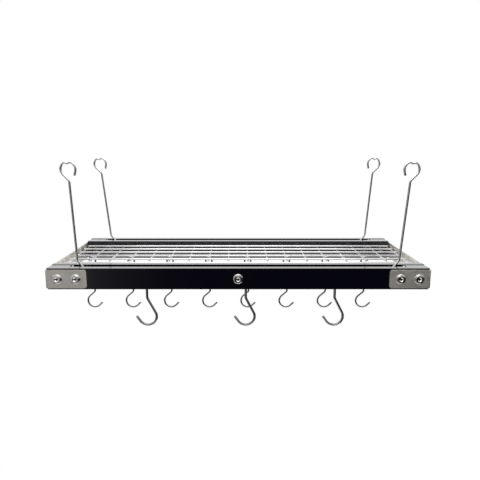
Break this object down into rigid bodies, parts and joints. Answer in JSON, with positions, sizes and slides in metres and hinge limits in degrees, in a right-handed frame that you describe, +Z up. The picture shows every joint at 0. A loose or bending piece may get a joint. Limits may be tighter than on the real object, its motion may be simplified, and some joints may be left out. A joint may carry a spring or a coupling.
{
  "type": "hanging pot rack",
  "caption": "Hanging kitchen pot rack: slotted black rails tied by folded steel end straps, a wire grid between them, folding hang rods with eyes and swinging wire pot hooks.",
  "frame": {"origin": "midway between the four hang rods, about level with the seats in their eyes", "axes": "+X along the rails to the right, +Y from the front rail to the back rail, +Z up"},
  "size_m": [0.92, 0.3968, 0.4204],
  "materials": {
    "black_rail": "satin black lacquer",
    "strap_steel": "brushed",
    "bolt_plate": "bright plated",
    "nut_zinc": "zinc plated",
    "wire_chrome": "polished",
    "rod_chrome": "polished",
    "hook_chrome": "polished"
  },
  "bodies": {
    "frame": {"front_outer_slat": "black_rail", "front_inner_slat": "black_rail", "front_left_block": "black_rail", "front_right_block": "black_rail", "back_outer_slat": "black_rail", "back_inner_slat": "black_rail", "back_left_block": "black_rail", "back_right_block": "black_rail", "left_strap": "strap_steel", "right_strap": "strap_steel", "strap_bolts": "bolt_plate", "centre_bolts": "bolt_plate", "centre_washers": "bolt_plate", "slot_tubes": "nut_zinc", "rail_nuts": "nut_zinc", "wire_grid": "wire_chrome"},
    "front_left_rod": {"front_left_rod": "rod_chrome"},
    "front_right_rod": {"front_right_rod": "rod_chrome"},
    "back_left_rod": {"back_left_rod": "rod_chrome"},
    "back_right_rod": {"back_right_rod": "rod_chrome"},
    "grid_hook_1": {"grid_hook_1": "hook_chrome"},
    "grid_hook_2": {"grid_hook_2": "hook_chrome"},
    "grid_hook_3": {"grid_hook_3": "hook_chrome"},
    "grid_hook_4": {"grid_hook_4": "hook_chrome"},
    "grid_hook_5": {"grid_hook_5": "hook_chrome"},
    "grid_hook_6": {"grid_hook_6": "hook_chrome"},
    "grid_hook_7": {"grid_hook_7": "hook_chrome"},
    "grid_hook_8": {"grid_hook_8": "hook_chrome"},
    "pot_hook_1": {"pot_hook_1": "hook_chrome"},
    "pot_hook_2": {"pot_hook_2": "hook_chrome"},
    "pot_hook_3": {"pot_hook_3": "hook_chrome"}
  },
  "joints": [
    {"name": "front_left_rod_fold", "type": "hinge", "parent": "frame", "child": "front_left_rod", "pos_m": [-0.388, -0.164, -0.26883], "axis": [0, 1, 0], "range_deg": [0, 92.2]},
    {"name": "front_right_rod_fold", "type": "hinge", "parent": "frame", "child": "front_right_rod", "pos_m": [0.388, -0.164, -0.26883], "axis": [0, -1, 0], "range_deg": [0, 94.2]},
    {"name": "back_left_rod_fold", "type": "hinge", "parent": "frame", "child": "back_left_rod", "pos_m": [-0.388, 0.164, -0.26883], "axis": [0, 1, 0], "range_deg": [0, 95.7]},
    {"name": "back_right_rod_fold", "type": "hinge", "parent": "frame", "child": "back_right_rod", "pos_m": [0.388, 0.164, -0.26883], "axis": [0, -1, 0], "range_deg": [0, 94.1]},
    {"name": "grid_hook_1_swing", "type": "hinge", "parent": "frame", "child": "grid_hook_1", "pos_m": [-0.39724, -0.02108, -0.26073], "axis": [0, 1, 0], "range_deg": [-30, 30]},
    {"name": "grid_hook_2_swing", "type": "hinge", "parent": "frame", "child": "grid_hook_2", "pos_m": [-0.29131, -0.02108, -0.26073], "axis": [0, 1, 0], "range_deg": [-30, 30]},
    {"name": "grid_hook_3_swing", "type": "hinge", "parent": "frame", "child": "grid_hook_3", "pos_m": [-0.18538, -0.02108, -0.26073], "axis": [0, 1, 0], "range_deg": [-30, 30]},
    {"name": "grid_hook_4_swing", "type": "hinge", "parent": "frame", "child": "grid_hook_4", "pos_m": [-0.07945, -0.02108, -0.26073], "axis": [0, 1, 0], "range_deg": [-30, 30]},
    {"name": "grid_hook_5_swing", "type": "hinge", "parent": "frame", "child": "grid_hook_5", "pos_m": [0.02648, -0.02108, -0.26073], "axis": [0, 1, 0], "range_deg": [-30, 30]},
    {"name": "grid_hook_6_swing", "type": "hinge", "parent": "frame", "child": "grid_hook_6", "pos_m": [0.13241, -0.02108, -0.26073], "axis": [0, 1, 0], "range_deg": [-30, 30]},
    {"name": "grid_hook_7_swing", "type": "hinge", "parent": "frame", "child": "grid_hook_7", "pos_m": [0.23834, -0.02108, -0.26073], "axis": [0, 1, 0], "range_deg": [-30, 30]},
    {"name": "grid_hook_8_swing", "type": "hinge", "parent": "frame", "child": "grid_hook_8", "pos_m": [0.34427, -0.02108, -0.26073], "axis": [0, 1, 0], "range_deg": [-30, 30]},
    {"name": "pot_hook_1_swing", "type": "hinge", "parent": "frame", "child": "pot_hook_1", "pos_m": [-0.23134, -0.1265, -0.25573], "axis": [1, 0, 0], "range_deg": [-5, 30]},
    {"name": "pot_hook_2_swing", "type": "hinge", "parent": "frame", "child": "pot_hook_2", "pos_m": [0.01948, -0.1265, -0.25573], "axis": [1, 0, 0], "range_deg": [-5, 30]},
    {"name": "pot_hook_3_swing", "type": "hinge", "parent": "frame", "child": "pot_hook_3", "pos_m": [0.24534, -0.1265, -0.25573], "axis": [1, 0, 0], "range_deg": [-5, 30]}
  ]
}
